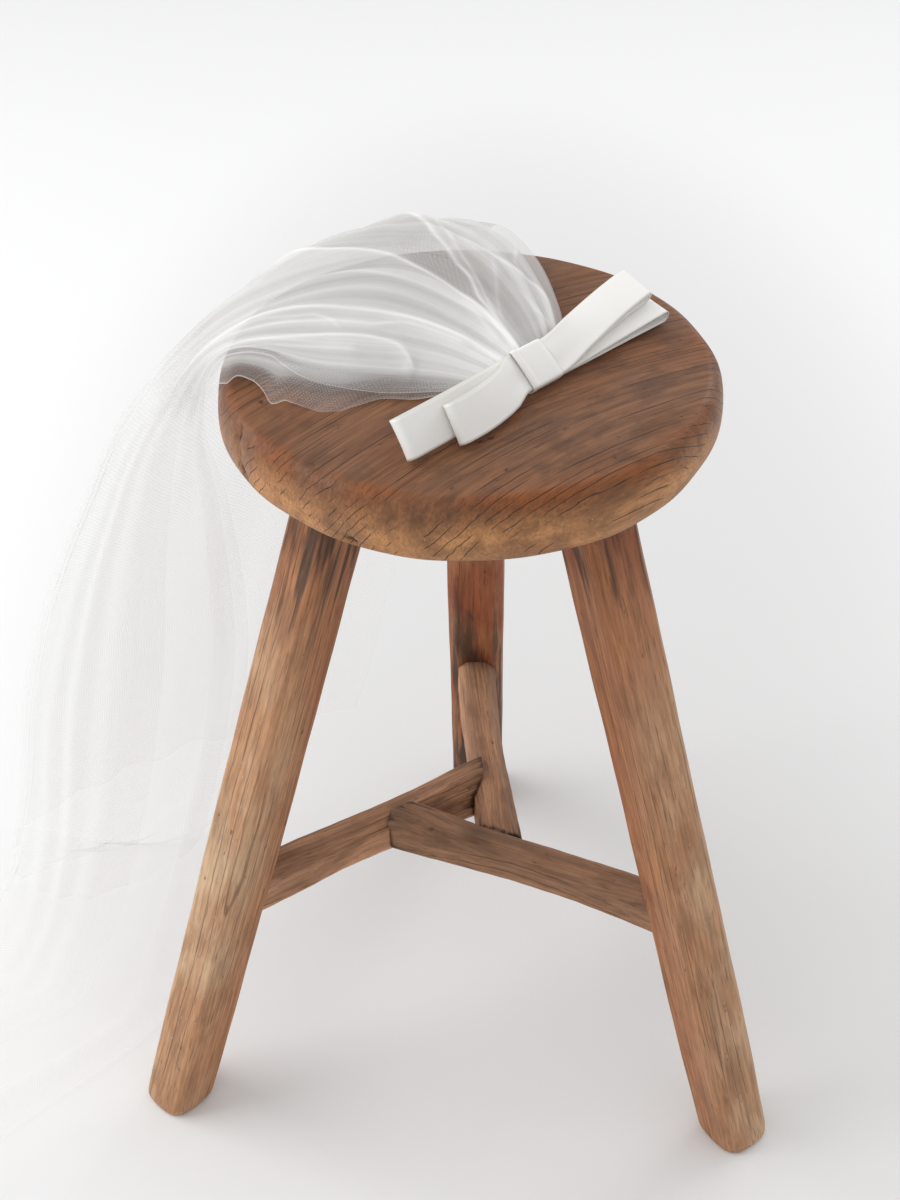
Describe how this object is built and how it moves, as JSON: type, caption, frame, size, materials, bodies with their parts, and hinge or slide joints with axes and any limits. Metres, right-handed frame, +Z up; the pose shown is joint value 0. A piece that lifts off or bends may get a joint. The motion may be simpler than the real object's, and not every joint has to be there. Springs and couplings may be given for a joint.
{
  "type": "bridal veil on a wooden stool",
  "caption": "Tiered gathered tulle bridal veil with a flat satin bow, draped over a round splay-legged wooden stool and trailing onto the floor.",
  "frame": {"origin": "middle of the whole part's bounding box at its base, on the floor", "axes": "+Z up; +X along the longest extent, from the veil's trailing hem toward the stool; -Y is the side that the picture was taken from"},
  "size_m": [0.8154, 0.406, 0.5807],
  "materials": {
    "tulle": "fine sheer net, soft matte white",
    "bow_satin": "ivory duchess satin with a soft sheen",
    "seat_elm": "old waxed elm, worn and cracked along the grain",
    "leg_elm": "old waxed elm, darkened on the shaded faces",
    "stretcher_elm": "old unpolished elm, greyed"
  },
  "bodies": {
    "root": {"seat": "seat_elm", "leg_left": "leg_elm", "leg_right": "leg_elm", "leg_back": "leg_elm", "stretcher_left": "stretcher_elm", "stretcher_right": "stretcher_elm", "stretcher_back": "stretcher_elm", "bow_long_loops": "bow_satin", "bow_short_loops": "bow_satin", "bow_knot_band": "bow_satin", "veil_upper_tier": "tulle", "veil_long_tier": "tulle"}
  },
  "joints": []
}
